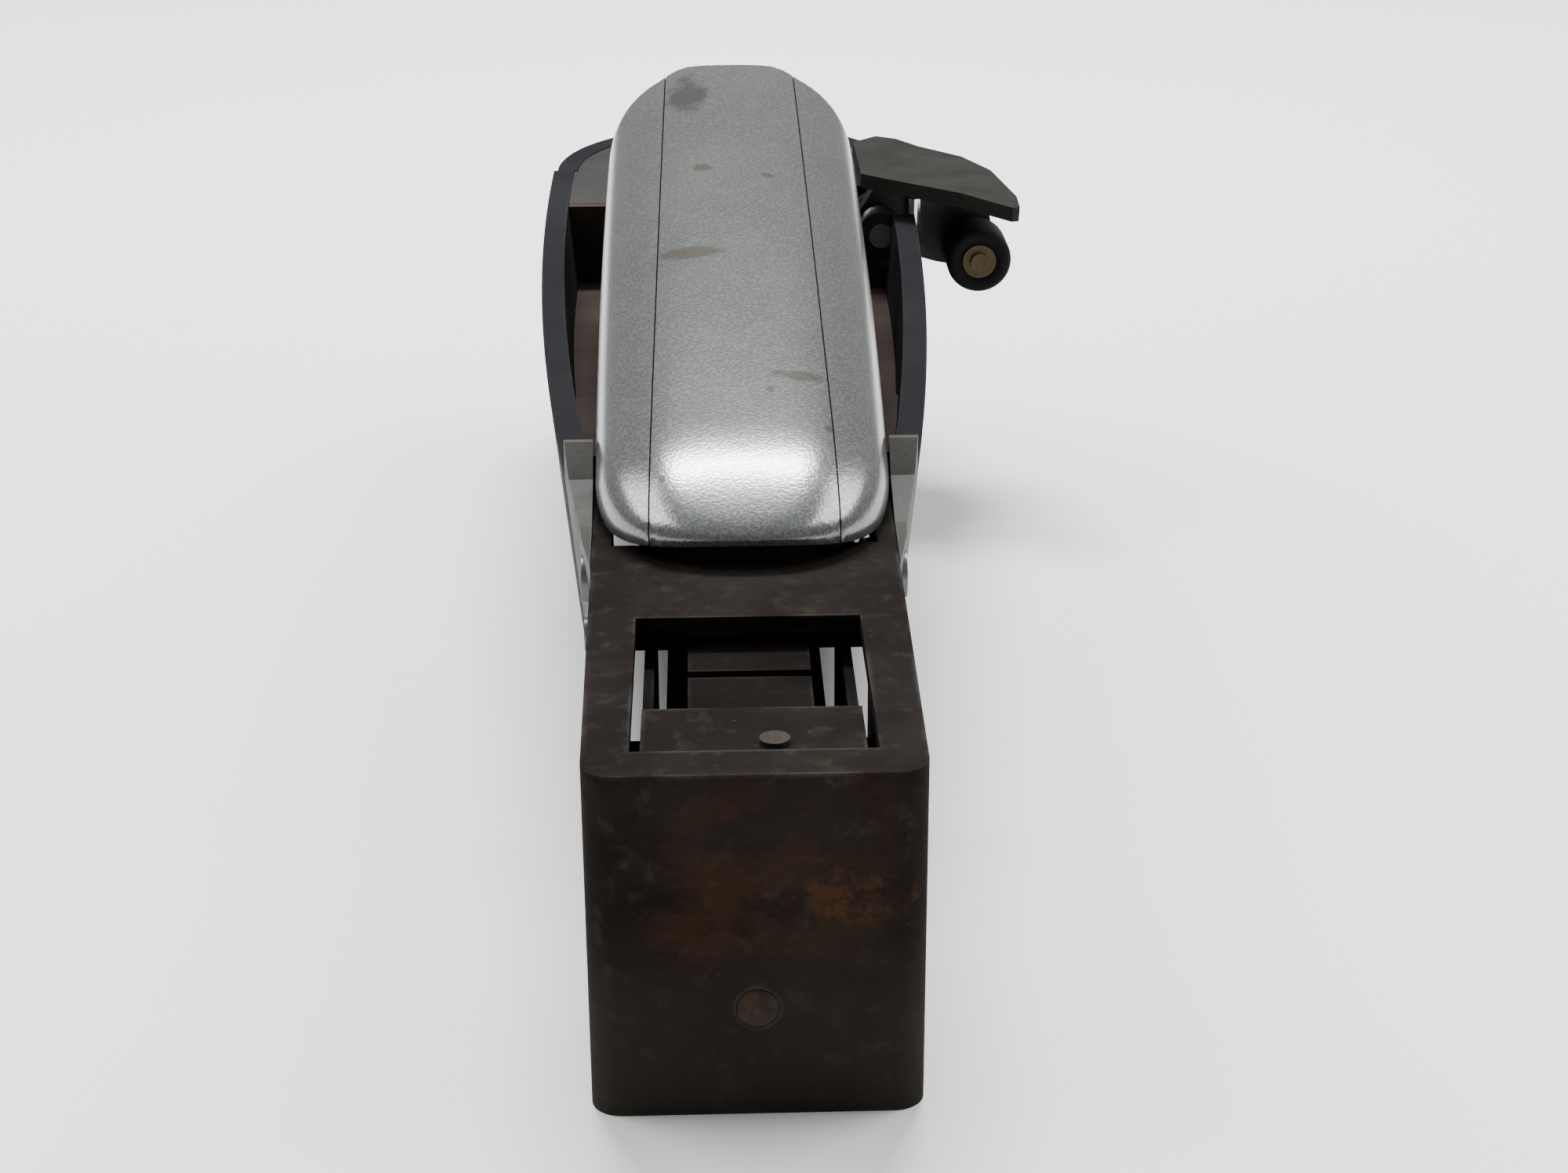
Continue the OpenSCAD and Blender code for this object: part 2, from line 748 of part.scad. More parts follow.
module driver_blade() {
    color("#8e9194") at_front() difference() {
        span([-6, blade_y, 0.3], [6, blade_y + blade_t, under_top]);
        for (x = [-4, 4]) translate([x, 0, 15]) bar_y(0.9 + slip, 8);
    }
}

module plunger_rivets() {
    color("#6a4326") at_front() {
        for (x = [-4, 4]) translate([x, blade_y, 15]) bar_y(0.9, 3);
        translate([1.5, 7.2, nose_h - 1 + eps]) cylinder(r = 1.1, h = 0.35);
    }
}

// ---------------------------------------------------------- release lever

// fixed bracket in the corner of the well that carries the axle
module lever_bracket() {
    low = well_z + eps;
    color("#5f6164") at_front() difference() {
        union() {
            span([axle_x - boss_r - 0.1, notch[0] + 0.5, low],
                 [axle_x + 0.1, notch[1] - 0.2, low + 1.2]);
            for (y = [notch[0] + 0.5, notch[1] - 1.4]) {
                span([axle_x - boss_r - 0.1, y, low], [axle_x + 0.1, y + 1.2, axle_z]);
                translate([axle_x, y, axle_z]) bar_y(boss_r, 1.2);
            }
        }
        translate([axle_x, 0, axle_z]) bar_y(axle_r + eps, 200);
    }
}

module lever_axle() {
    color("#d0d3d6") at_front() translate([axle_x, notch[0] + 0.2, axle_z])
        bar_y(axle_r, notch[1] - notch[0] - 0.4);
}

module lever_spring() {
    color("#6d6f72") at_front() translate([axle_x, notch[0] + 1.9, axle_z]) rotate([-90, 0, 0])
        coil(2.1, 0.6, arm_y - notch[0] - 2.2, 4, 20, 8);
}

// arm between the axle boss, the roller and the plate above
module lever_arm() {
    post = 29.6;
    top_at = plate_root_z - plate_t / cos(plate_lean) - fit;
    fall = tan(plate_lean);
    color("#5f6164") at_front() difference() {
        union() {
            translate([axle_x, arm_y, axle_z]) bar_y(boss_r, arm_depth);
            cross_plate(arm_y, arm_depth) polygon([
                [axle_x - 1, axle_z], [axle_x + 1, axle_z - boss_r], [24, 25.6],
                [roller_x, roller_z - 2.6], [roller_x + 2.5, roller_z],
                [post, top_at - (post - plate_root) * fall],
                [axle_x, top_at - (axle_x - plate_root) * fall],
                [axle_x - boss_r + 0.2, axle_z + 1]]);
        }
        translate([axle_x, 0, axle_z]) bar_y(axle_r + slip, 200);
        translate([roller_x, 0, roller_z]) bar_y(pin_r + eps, 200);
    }
}

// polished upright stud on the front of the arm
module lever_stud() {
    color("#e1e3e5") at_front() translate([21.4, arm_y - 0.82, 29.6]) cylinder(r = 0.8, h = 3.8);
}

// swept thumb plate that leans down and out over the grip's edge
module lever_plate() {
    s = plate_reach / 17.2;
    color("#4d5054") at_front() translate([plate_root, 0, plate_root_z])
        rotate([0, plate_lean, 0]) translate([0, 0, -plate_t]) linear_extrude(plate_t)
            polygon([[0, 133.4], [2.4, 131.6], [10.8 * s, 126.2], [14 * s, 122.6],
                     [16 * s, 120.4], [16.8 * s, 121], [17 * s, 126], [15.4 * s, 138.5],
                     [12.6 * s, 145], [7.8 * s, 149.5], [5.4, 153], [3, 154], [0, 150]]);
}

module roller_pin() {
    color("#c4c6c8") at_front() translate([roller_x, arm_y - roller_len - 1, roller_z])
        bar_y(pin_r, roller_len + 1 + arm_depth);
}

module roller() {
    color("#151515") at_front() translate([roller_x, arm_y - roller_len - 0.4, roller_z])
        difference() {
            bar_y(roller_r, roller_len);
            translate([0, -1, 0]) bar_y(hub_r + eps, roller_len + 2);
        }
}

module roller_hub() {
    color("#b08a4a") at_front() translate([roller_x, arm_y - roller_len - 0.6, roller_z])
        difference() {
            bar_y(hub_r, roller_len + 0.4);
            translate([0, -1, 0]) bar_y(pin_r + slip, roller_len + 3);
        }
}

// ------------------------------------------------------------------ draw
nose_housing();
nose_rivet();
guide_channel();
spring_seat();
cheek_left();
cheek_right();
grip_left();
grip_right();
grip_tray();
rear_deck();
grip_screws();
magazine_channel();
channel_bridge();
catch_leaf();
pivot_pin();
rocker_pin();
bumper();
main_spring();
return_spring();
lever_bracket();
lever_spring();
lever_axle();
handle_strip();
handle_side_left();
handle_side_right();
handle_liner();
handle_frame();
handle_screws();
actuator_pin();
rocker();
plunger();
driver_blade();
plunger_rivets();
lever_plate();
lever_arm();
lever_stud();
roller_pin();
roller();
roller_hub();
staple_rail();
rail_pull();
guide_rod();
staples();
pusher_spring();
pusher();
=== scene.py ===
"""Hand stapler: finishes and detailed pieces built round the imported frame. Lengths in mm unless named."""
import bpy
import bmesh
import json
from math import cos, pi, radians, sin
from mathutils import Matrix, Vector


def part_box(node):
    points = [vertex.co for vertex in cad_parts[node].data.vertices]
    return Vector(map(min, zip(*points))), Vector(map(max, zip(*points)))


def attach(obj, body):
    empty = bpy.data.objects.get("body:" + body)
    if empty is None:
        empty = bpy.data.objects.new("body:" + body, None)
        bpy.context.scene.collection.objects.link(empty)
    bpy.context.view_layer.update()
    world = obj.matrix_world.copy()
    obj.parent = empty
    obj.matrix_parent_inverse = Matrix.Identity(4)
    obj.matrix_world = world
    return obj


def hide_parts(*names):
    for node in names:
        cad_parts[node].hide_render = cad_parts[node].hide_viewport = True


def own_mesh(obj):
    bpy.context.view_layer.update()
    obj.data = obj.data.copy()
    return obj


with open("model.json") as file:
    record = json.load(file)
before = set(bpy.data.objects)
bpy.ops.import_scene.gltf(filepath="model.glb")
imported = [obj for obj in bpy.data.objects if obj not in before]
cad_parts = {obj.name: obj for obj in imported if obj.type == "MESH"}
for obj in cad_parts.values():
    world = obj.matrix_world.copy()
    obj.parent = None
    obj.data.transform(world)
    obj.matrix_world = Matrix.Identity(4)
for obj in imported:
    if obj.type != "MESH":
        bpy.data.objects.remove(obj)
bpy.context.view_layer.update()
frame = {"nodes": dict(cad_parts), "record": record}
NODES = frame["nodes"]
MM = 0.001
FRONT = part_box("nose_housing")[0][1] / MM      # y of the nose face
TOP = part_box("nose_housing")[1][2] / MM        # z of the nose top

# ------------------------------------------------------------------ camera and light
CAMERA_AT = Vector((-2.716, -237.4, 104.93)) * MM
CAMERA_TURN = (67.82, -1.71, -0.263)           # tilt, turn and roll in degrees
CAMERA_LENS = 59.4                             # on a 36 mm wide sensor


def make_camera():
    tilt, turn, roll = (radians(angle) for angle in CAMERA_TURN)
    data = bpy.data.cameras.new("camera")
    data.lens = CAMERA_LENS
    data.sensor_width = 36
    data.clip_start = 0.01
    camera = bpy.data.objects.new("camera", data)
    bpy.context.collection.objects.link(camera)
    aim = Matrix.Rotation(turn, 4, "Z") @ Matrix.Rotation(tilt, 4, "X") @ Matrix.Rotation(roll, 4, "Z")
    camera.matrix_world = Matrix.Translation(CAMERA_AT) @ aim
    bpy.context.scene.camera = camera


def make_softbox(name, at, size, watts, aim=(0, 0, 0.02)):
    data = bpy.data.lights.new(name, "AREA")
    data.shape = "RECTANGLE"
    data.size, data.size_y = size
    data.energy = watts
    light = bpy.data.objects.new(name, data)
    bpy.context.collection.objects.link(light)
    light.location = at
    light.rotation_euler = (Vector(aim) - Vector(at)).to_track_quat("-Z", "Y").to_euler()


def make_studio():
    make_softbox("key", (-0.01, 0.3, 0.62), (0.36, 0.075), 9.5, (0, -0.04, 0.04))
    make_softbox("left_fill", (-1.1, 0.35, 1.1), (0.9, 0.9), 20.0)
    make_softbox("right_fill", (1.1, 0.35, 1.1), (0.9, 0.9), 20.0)
    world = bpy.data.worlds.new("studio")
    bpy.context.scene.world = world
    world.use_nodes = True
    sky = world.node_tree.nodes["Background"]
    sky.inputs["Color"].default_value = (1.0, 1.0, 1.0, 1.0)
    sky.inputs["Strength"].default_value = 0.42


# ------------------------------------------------------------------ shader helpers
class Value:
    """A socket that takes part in Python arithmetic: each operation adds its Math node."""

    def __init__(self, finish, socket):
        self.finish = finish
        self.socket = socket

    def math(self, operation, *others):
        values = {number: other for number, other in enumerate((self, *others))}
        return self.finish.node("ShaderNodeMath", {"operation": operation}, values)

    def __add__(self, other):
        return self.math("ADD", other)

    def __sub__(self, other):
        return self.math("SUBTRACT", other)

    def __rsub__(self, other):
        return self.finish.node("ShaderNodeMath", {"operation": "SUBTRACT"}, {0: other, 1: self})

    def __mul__(self, other):
        return self.math("MULTIPLY", other)

    def __abs__(self):
        return self.math("ABSOLUTE")

    __radd__ = __add__
    __rmul__ = __mul__

    def power(self, other):
        return self.math("POWER", other)

    def least(self, other):
        return self.math("MINIMUM", other)

    def most(self, other):
        return self.math("MAXIMUM", other)


class Finish:
    """A material in the making."""

    def __init__(self, name):
        self.material = bpy.data.materials.new(name)
        self.material.use_nodes = True
        self.tree = self.material.node_tree
        self.tree.nodes.clear()
        self.shader = self.tree.nodes.new("ShaderNodeBsdfPrincipled")
        output = self.tree.nodes.new("ShaderNodeOutputMaterial")
        self.tree.links.new(self.shader.outputs["BSDF"], output.inputs["Surface"])
        self.place = self.node("ShaderNodeTexCoord", out="Object")

    def node(self, kind, settings=None, sockets=None, out=0):
        made = self.tree.nodes.new(kind)
        for name, value in (settings or {}).items():
            if name == "stops":
                for stop, (at, tone) in zip(made.color_ramp.elements, value):
                    stop.position = at
                    stop.color = (*tone, 1.0)
            else:
                setattr(made, name, value)
        for name, value in (sockets or {}).items():
            self.feed(made.inputs[name], value)
        return Value(self, made.outputs[out])

    def feed(self, socket, value):
        if isinstance(value, Value):
            self.tree.links.new(value.socket, socket)
        elif isinstance(value, tuple) and socket.type == "RGBA":
            socket.default_value = (*value, 1.0)
        else:
            socket.default_value = value

    def set(self, **sockets):
        for name, value in sockets.items():
            self.feed(self.shader.inputs[name.replace("_", " ")], value)

    def stretched(self, x, y, z):
        settings = {"operation": "MULTIPLY"}
        return self.node("ShaderNodeVectorMath", settings, {0: self.place, 1: (x, y, z)})

    def noise(self, scale, detail=4.0, rough=0.55, along=(1, 1, 1)):
        sockets = {"Vector": self.stretched(*along), "Scale": scale, "Detail": detail, "Roughness": rough}
        return self.node("ShaderNodeTexNoise", None, sockets)

    def cells(self, scale):
        return self.node("ShaderNodeTexVoronoi", None, {"Vector": self.place, "Scale": scale}, out="Distance")

    def step(self, value, low, high):
        """0 below low, 1 above high, smooth between."""
        settings = {"interpolation_type": "SMOOTHSTEP"}
        return self.node("ShaderNodeMapRange", settings, {"Value": value, "From Min": low, "From Max": high})

    def mix(self, mask, tone_a, tone_b):
        made = self.tree.nodes.new("ShaderNodeMix")
        made.data_type = "RGBA"
        for number, value in ((0, mask), (6, tone_a), (7, tone_b)):
            self.feed(made.inputs[number], value)
        return Value(self, made.outputs[2])

    def bump(self, height, depth, strength=1.0):
        sockets = {"Height": height, "Distance": depth * MM, "Strength": strength}
        self.set(Normal=self.node("ShaderNodeBump", None, sockets))

    def coords(self):
        """x, y and z in millimetres."""
        return [self.node("ShaderNodeSeparateXYZ", None, {0: self.place}, out=i) * 1000 for i in range(3)]

    def edges(self, width):
        """1 where the surface turns a corner within width, 0 on the flat."""
        soft = self.node("ShaderNodeBevel", {"samples": 4}, {"Radius": width * MM})
        true = self.node("ShaderNodeNewGeometry", out="True Normal")
        dot = self.node("ShaderNodeVectorMath", {"operation": "DOT_PRODUCT"}, {0: soft, 1: true}, out="Value")
        return self.step(1 - dot, 0.02, 0.22)

    def spot(self, x, y, at, size, wobble):
        """1 in a blot round at, in the x-y plane, with a ragged rim."""
        dx = (x - at[0]) * (1 / size[0])
        dy = (y - at[1]) * (1 / size[1])
        reach = (dx * dx + dy * dy).power(0.5) + wobble
        return 1 - self.step(reach, 0.55, 1.15)


# ------------------------------------------------------------------ materials
def silver_paint():
    f = Finish("silver_paint")
    x, y, _ = f.coords()
    cloud = f.noise(70, 5)
    flake = f.cells(3600)
    ragged = (f.noise(420, 5) - 0.5) * 1.6
    tone = f.mix(f.step(cloud, 0.3, 0.7), (0.12, 0.131, 0.123), (0.138, 0.15, 0.141))
    tone = f.mix(f.step(flake, 0.3, 0.8) * 0.4, tone, (0.3, 0.31, 0.305))
    soot = f.spot(x, y, (-4.6, 40.5), (2.2, 5.2), ragged)
    tone = f.mix(soot * 0.75, tone, (0.045, 0.043, 0.04))
    stains = (((-4.2, 2.0), (3.2, 1.4)), ((-3.0, 21.0), (1.0, 1.0)), ((3.4, 19.0), (0.8, 0.9)),
              ((5.4, -21.5), (2.4, 1.0)), ((-6.7, -36.0), (0.35, 0.5)), ((2.6, -24.0), (0.4, 0.5)),
              ((7.4, -29.5), (0.4, 0.6)))
    brown = 0.0
    for at, size in stains:
        brown = f.spot(x, y, at, size, ragged) + brown
    tone = f.mix(brown * 0.6, tone, (0.07, 0.05, 0.03))
    scuffs = f.step(f.noise(55, 8, 0.7, (9, 1, 9)), 0.66, 0.74)
    tone = f.mix(scuffs * 0.25, tone, (0.1, 0.1, 0.095))
    worn = f.edges(0.35) * f.step(f.noise(260, 4), 0.45, 0.6)
    tone = f.mix(worn * 0.25, tone, (0.06, 0.06, 0.058))
    f.set(Base_Color=tone, Metallic=0.7, Specular_IOR_Level=0.8)
    f.set(Roughness=0.19 + cloud * 0.05 + scuffs * 0.05)
    f.bump(flake * 0.5 + f.noise(1500, 2) * 0.4 + f.noise(180, 3) * 0.8, 0.016)
    return f.material


def nose_steel(name="nose_steel", patch=True):
    f = Finish(name)
    x, y, z = f.coords()
    broad = f.noise(75, 6, 0.6)
    fine = f.noise(520, 6, 0.65)
    grain = f.noise(2600, 3, 0.6)
    tone = f.mix(f.step(broad, 0.35, 0.68), (0.009, 0.0072, 0.0062), (0.0165, 0.0135, 0.0115))
    low_down = 1 - f.step(z, 2.0, 18.0)
    tone = f.mix(low_down * 0.5, tone, (0.031, 0.028, 0.025))
    tone = f.mix(f.step(fine, 0.5, 0.75) * 0.5, tone, (0.036, 0.03, 0.025))
    if patch:
        on_face = 1 - f.step(y, FRONT + 0.2, FRONT + 1.6)
        rise = 1 - f.step(abs(z - (TOP - 8.0)) + (broad - 0.5) * 14, 4.5, 9.5)
        across = 1 - f.step(abs(x - 1.0) + (fine - 0.5) * 6, 6.0, 11.0)
        rust = on_face * rise * across * f.step(f.noise(160, 7, 0.65, (1, 1, 1.8)), 0.4, 0.62)
        tone = f.mix(rust * 0.55, tone, (0.036, 0.018, 0.01))
        streak = f.spot(x, z, (6.4, TOP - 9.6), (5.2, 2.0), (fine - 0.5) * 2.2) * on_face
        tone = f.mix(streak * f.step(f.noise(420, 6, 0.7), 0.42, 0.6) * 0.5, tone, (0.065, 0.029, 0.012))
    else:
        rust = f.step(f.noise(210, 6, 0.65), 0.58, 0.72)
        tone = f.mix(rust * 0.5, tone, (0.04, 0.018, 0.01))
    dust = f.step(f.noise(900, 4, 0.7), 0.66, 0.76)
    tone = f.mix(dust * 0.4, tone, (0.075, 0.07, 0.06))
    worn = f.edges(0.7) * f.step(f.noise(150, 5), 0.38, 0.62)
    tone = f.mix(worn * 0.7, tone, (0.042, 0.045, 0.048))
    scratch = f.step(f.noise(40, 9, 0.75, (14, 14, 1)), 0.68, 0.73) * 0.6
    tone = f.mix(scratch * 0.35, tone, (0.05, 0.046, 0.042))
    # inner parts: the tone is pulled 62% toward near-black as painted shade, for parts that sit in the shade
    # inside the nose
    if not patch:
        tone = f.mix(0.62, tone, (0.002, 0.0012, 0.0012))
    f.set(Base_Color=tone, Metallic=worn * (0.4 if patch else 0.1), Specular_IOR_Level=0.015)
    f.set(Roughness=0.7 - worn * 0.25 + (fine - 0.5) * 0.35)
    f.bump(fine * 0.8 + grain * 0.35 + broad * 0.8 + rust * 0.6, 0.11)
    return f.material


def cheek_alloy():
    f = Finish("cheek_alloy")
    cloud = f.noise(140, 6, 0.6)
    grain = f.noise(2400, 3)
    tone = f.mix(f.step(cloud, 0.35, 0.7), (0.024, 0.0235, 0.021), (0.04, 0.039, 0.0355))
    grime = f.step(f.noise(90, 6, 0.65), 0.52, 0.68)
    tone = f.mix(grime * 0.5, tone, (0.055, 0.05, 0.043))
    worn = f.edges(0.4)
    tone = f.mix(worn * 0.25, tone, (0.07, 0.069, 0.064))
    f.set(Base_Color=tone, Metallic=0.15, Specular_IOR_Level=0.15)
    f.set(Roughness=0.5 + grime * 0.2 + cloud * 0.1)
    f.bump(grain * 0.5 + cloud * 0.6, 0.05)
    return f.material


def grained_plastic(name, dark, light, roughness=0.48, dusty=0.25):
    f = Finish(name)
    cloud = f.noise(60, 6, 0.6)
    grain = f.cells(2600)
    tone = f.mix(f.step(cloud, 0.3, 0.72), dark, light)
    dust = f.step(f.noise(240, 7, 0.7), 0.54, 0.74)
    chalky = tuple(channel * 0.8 + 0.012 for channel in light)
    tone = f.mix(dust * dusty, tone, chalky)
    rub = f.edges(0.5) * f.step(f.noise(170, 4), 0.35, 0.65)
    tone = f.mix(rub * 0.5, tone, tuple(channel + 0.014 for channel in light))
    scratch = f.step(f.noise(48, 9, 0.75, (1, 12, 12)), 0.69, 0.73)
    tone = f.mix(scratch * 0.3, tone, tuple(channel + 0.03 for channel in light))
    f.set(Base_Color=tone, Roughness=roughness + dust * 0.2 - rub * 0.12, Specular_IOR_Level=0.05)
    f.bump(grain * 0.6 + f.noise(600, 3) * 0.5 + cloud * 0.5, 0.025)
    return f.material


def plain_steel(name, tone_a, tone_b, roughness, along=(1, 1, 1), rust_share=0.12, metallic=0.9, shine=0.5):
    f = Finish(name)
    cloud = f.noise(180, 6, 0.6)
    brushed = f.noise(900, 4, 0.6, along)
    tone = f.mix(f.step(cloud, 0.32, 0.7), tone_a, tone_b)
    tone = f.mix(f.step(brushed, 0.4, 0.7) * 0.3, tone, tuple(channel * 1.25 for channel in tone_b))
    rust = f.step(f.noise(330, 7, 0.68), 0.62, 0.74) * rust_share
    tone = f.mix(rust, tone, (0.14, 0.062, 0.028))
    worn = f.edges(0.3)
    tone = f.mix(worn * 0.4, tone, tuple(min(channel * 1.5, 0.85) for channel in tone_b))
    f.set(Base_Color=tone, Metallic=metallic - rust * 0.6 * metallic, Specular_IOR_Level=shine)
    f.set(Roughness=roughness + brushed * 0.14 + rust * 0.4)
    f.bump(brushed * 0.5 + cloud * 0.6, 0.025)
    return f.material


def rusty_head():
    f = Finish("rusty_head")
    cloud = f.noise(700, 7, 0.7)
    tone = f.mix(f.step(cloud, 0.35, 0.65), (0.014, 0.009, 0.006), (0.036, 0.021, 0.011))
    tone = f.mix(f.step(f.noise(1500, 4), 0.6, 0.7) * 0.5, tone, (0.055, 0.037, 0.019))
    f.set(Base_Color=tone, Metallic=0.1, Roughness=0.7 + cloud * 0.2, Specular_IOR_Level=0.25)
    f.bump(cloud + f.noise(2600, 3) * 0.4, 0.09)
    return f.material


def rubber(name, tone):
    f = Finish(name)
    cloud = f.noise(300, 6, 0.6)
    dust = f.step(f.noise(900, 5, 0.7), 0.5, 0.75)
    tone = f.mix(dust * 0.3, tone, (0.022, 0.02, 0.018))
    f.set(Base_Color=tone, Roughness=0.62 + cloud * 0.25, Specular_IOR_Level=0.1)
    f.bump(cloud * 0.7 + f.noise(3000, 3) * 0.4, 0.05)
    return f.material


def floor_paint():
    f = Finish("floor_paint")
    cloud = f.noise(3, 3)
    f.set(Base_Color=f.mix(f.step(cloud, 0.2, 0.8), (0.87, 0.87, 0.865), (0.9, 0.9, 0.895)))
    f.set(Roughness=0.8 + cloud * 0.1)
    return f.material


FINISHES = {
    "black_steel": nose_steel(),
    # worn_steel: the nose steel with random rust, darkened by painted shade for the parts inside the nose
    "worn_steel": nose_steel("inner_steel_painted_shade", patch=False),
    "rusty_steel": rusty_head(),
    "cast_alloy": cheek_alloy(),
    "black_plastic": grained_plastic("grip_plastic", (0.006, 0.0065, 0.008), (0.011, 0.012, 0.014), 0.7),
    "well_plastic": grained_plastic("well_plastic", (0.022, 0.016, 0.014), (0.04, 0.029, 0.024), 0.7,
                                    dusty=0.4),
    "deck_plastic": grained_plastic("deck_plastic", (0.022, 0.022, 0.021), (0.034, 0.034, 0.032), 0.5),
    "liner_plastic": grained_plastic("liner_plastic", (0.006, 0.006, 0.006), (0.011, 0.01, 0.01), 0.5),
    "bright_steel": plain_steel("bright_steel", (0.12, 0.12, 0.118), (0.2, 0.2, 0.195), 0.34),
    "zinc_steel": plain_steel("zinc_steel", (0.2, 0.21, 0.22), (0.34, 0.35, 0.36), 0.38, (8, 1, 8), 0.25),
    "spring_steel": plain_steel("spring_steel", (0.1, 0.1, 0.1), (0.2, 0.2, 0.2), 0.34),
    "rubber_pad": rubber("pad_rubber", (0.01, 0.01, 0.01)),
    "grey_steel": plain_steel("grey_steel", (0.02, 0.019, 0.019), (0.036, 0.034, 0.034), 0.5, rust_share=0.25,
                              metallic=0.2, shine=0.15),
    "chrome_steel": plain_steel("chrome_steel", (0.62, 0.63, 0.64), (0.78, 0.79, 0.8), 0.13, rust_share=0.03),
    "silver_paint": silver_paint(),
    "dark_steel": plain_steel("lever_paint", (0.012, 0.012, 0.011), (0.019, 0.019, 0.017), 0.75,
                              rust_share=0.1, metallic=0.0, shine=0.08),
    "roller_rubber": rubber("roller_rubber", (0.0075, 0.007, 0.007)),
    "brass": plain_steel("dull_brass", (0.06, 0.043, 0.02), (0.1, 0.072, 0.035), 0.55, rust_share=0.3,
                         metallic=0.3, shine=0.2),
    "staple_wire": plain_steel("staple_wire", (0.45, 0.46, 0.47), (0.62, 0.63, 0.64), 0.28),
    "pusher_brass": plain_steel("yellow_zinc", (0.26, 0.21, 0.11), (0.42, 0.35, 0.19), 0.36),
}

# ------------------------------------------------------------------ mesh helpers
SLOT_OF = {part["node"]: part["material_slot"] for part in frame["record"]["subparts"]}
BODY_OF = {node: body for body, nodes in frame["record"]["behaviour"]["bodies"].items() for node in nodes}


def link_mesh(name, points, faces, smooth=True):
    """A mesh object from points in millimetres."""
    mesh = bpy.data.meshes.new(name)
    mesh.from_pydata([Vector(p) * MM for p in points], [], faces)
    made = bmesh.new()
    made.from_mesh(mesh)
    bmesh.ops.remove_doubles(made, verts=made.verts, dist=1e-7)
    bmesh.ops.recalc_face_normals(made, faces=made.faces)
    made.to_mesh(mesh)
    made.free()
    if smooth:
        mesh.shade_smooth()
    piece = bpy.data.objects.new(name, mesh)
    bpy.context.collection.objects.link(piece)
    return piece


def grid_faces(rows, columns, close_rows=False, close_columns=False):
    """Quads between neighbouring points of a rows by columns grid."""
    faces = []
    for i in range(rows if close_rows else rows - 1):
        for k in range(columns if close_columns else columns - 1):
            a, b = i * columns, (i + 1) % rows * columns
            m = (k + 1) % columns
            faces.append((a + k, a + m, b + m, b + k))
    return faces


def modifier(piece, kind, **settings):
    made = piece.modifiers.new(kind.lower(), kind)
    for name, value in settings.items():
        setattr(made, name, value)
    return made


def soften(piece, width, segments=3, angle=35):
    """Rounds the sharp edges of a piece and keeps its flats flat."""
    piece.data.shade_smooth()
    modifier(piece, "BEVEL", width=width * MM, segments=segments, limit_method="ANGLE",
             angle_limit=radians(angle), harden_normals=True, miter_outer="MITER_ARC")
    return piece


def settle(piece, *nodes):
    """The piece takes over these nodes: their body, slot and finish; the nodes are hidden."""
    slot_name = SLOT_OF[nodes[0]]
    piece.data.materials.clear()
    piece.data.materials.append(FINISHES[slot_name])
    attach(piece, BODY_OF[nodes[0]])
    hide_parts(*nodes)
    return piece


def dress_cad_node(node, width):
    piece = NODES[node]
    piece.data.materials.clear()
    piece.data.materials.append(FINISHES[SLOT_OF[node]])
    if width:
        soften(piece, width)


def swept_tube(name, path, radius, sides=12):
    """A round wire along a path of points in millimetres."""
    rings = []
    last = len(path) - 1
    side = None
    for i, point in enumerate(path):
        ahead = (Vector(path[min(i + 1, last)]) - Vector(path[max(i - 1, 0)])).normalized()
        if side is None:
            side = ahead.orthogonal().normalized()
        side = (side - ahead * side.dot(ahead)).normalized()
        up = ahead.cross(side)
        for k in range(sides):
            turn = 2 * pi * k / sides
            rings.append(Vector(point) + (side * cos(turn) + up * sin(turn)) * radius)
    faces = grid_faces(len(path), sides, close_columns=True)
    faces.append(tuple(range(sides)))
    faces.append(tuple(reversed(range(last * sides, (last + 1) * sides))))
    return link_mesh(name, rings, faces)


def turned(name, profile, axis_at, axis="y", steps=40):
    """A lathe-turned piece: profile is (radius, place along the axis), round an axis through axis_at."""
    points = []
    for radius, along in profile:
        for k in range(steps):
            turn = 2 * pi * k / steps
            a, b = radius * cos(turn), radius * sin(turn)
            at = {"x": (along, a, b), "y": (a, along, b), "z": (a, b, along)}[axis]
            points.append(Vector(at) + Vector(axis_at))
    rows = len(profile)
    faces = grid_faces(rows, steps, close_columns=True)
    if profile[0][0] != profile[-1][0] or profile[0][1] != profile[-1][1]:
        faces.append(tuple(range(steps)))
        faces.append(tuple(reversed(range((rows - 1) * steps, rows * steps))))
    return link_mesh(name, points, faces)


def centre_of(node):
    low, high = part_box(node)
    return (Vector(low) + Vector(high)) / (2 * MM)


def span_of(node, axis):
    low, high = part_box(node)
    return low[axis] / MM, high[axis] / MM


# ------------------------------------------------------------------ handle
PIVOT = Vector((0, FRONT + 46, 23))
HANDLE_OPEN = 10.6
HANDLE_FRONT, HANDLE_LEN = -7.3, 97.0
HANDLE_LOW, HANDLE_RISE, HANDLE_TOP = 4.6, 2.9, 12.0
HANDLE_HALF, HANDLE_BOW, HANDLE_MID = 13.2, 2000.0, 55.0
FRONT_REACH, REAR_REACH = 16.0, 17.0
FRONT_BEND, REAR_BEND = 15.0, 3.5
CORNER_REACH = 3.5                             # how far in the two rear corners round off
NOSE_GAP = 0.15                                # from the nose top up to the liner's rim
STRIP_HALF, STRIP_TAPER, SEAM = 7.8, 0.9, 0.13
SHELL_SHEET = 0.9                              # thickness of the silver shells
LINER_SHEET, LINER_INSET, LINER_SHOWS = 1.4, 0.95, 0.8
CROWN_RADIUS = 1400.0                          # long curve of the handle's top
TO_ROW = Matrix.Translation(PIVOT) @ Matrix.Rotation(radians(HANDLE_OPEN), 4, "X")


def handle_half(y):
    return HANDLE_HALF - (y - HANDLE_MID) ** 2 / (2 * HANDLE_BOW)


def handle_crown(y):
    return HANDLE_TOP - (y - HANDLE_MID) ** 2 / (2 * CROWN_RADIUS)


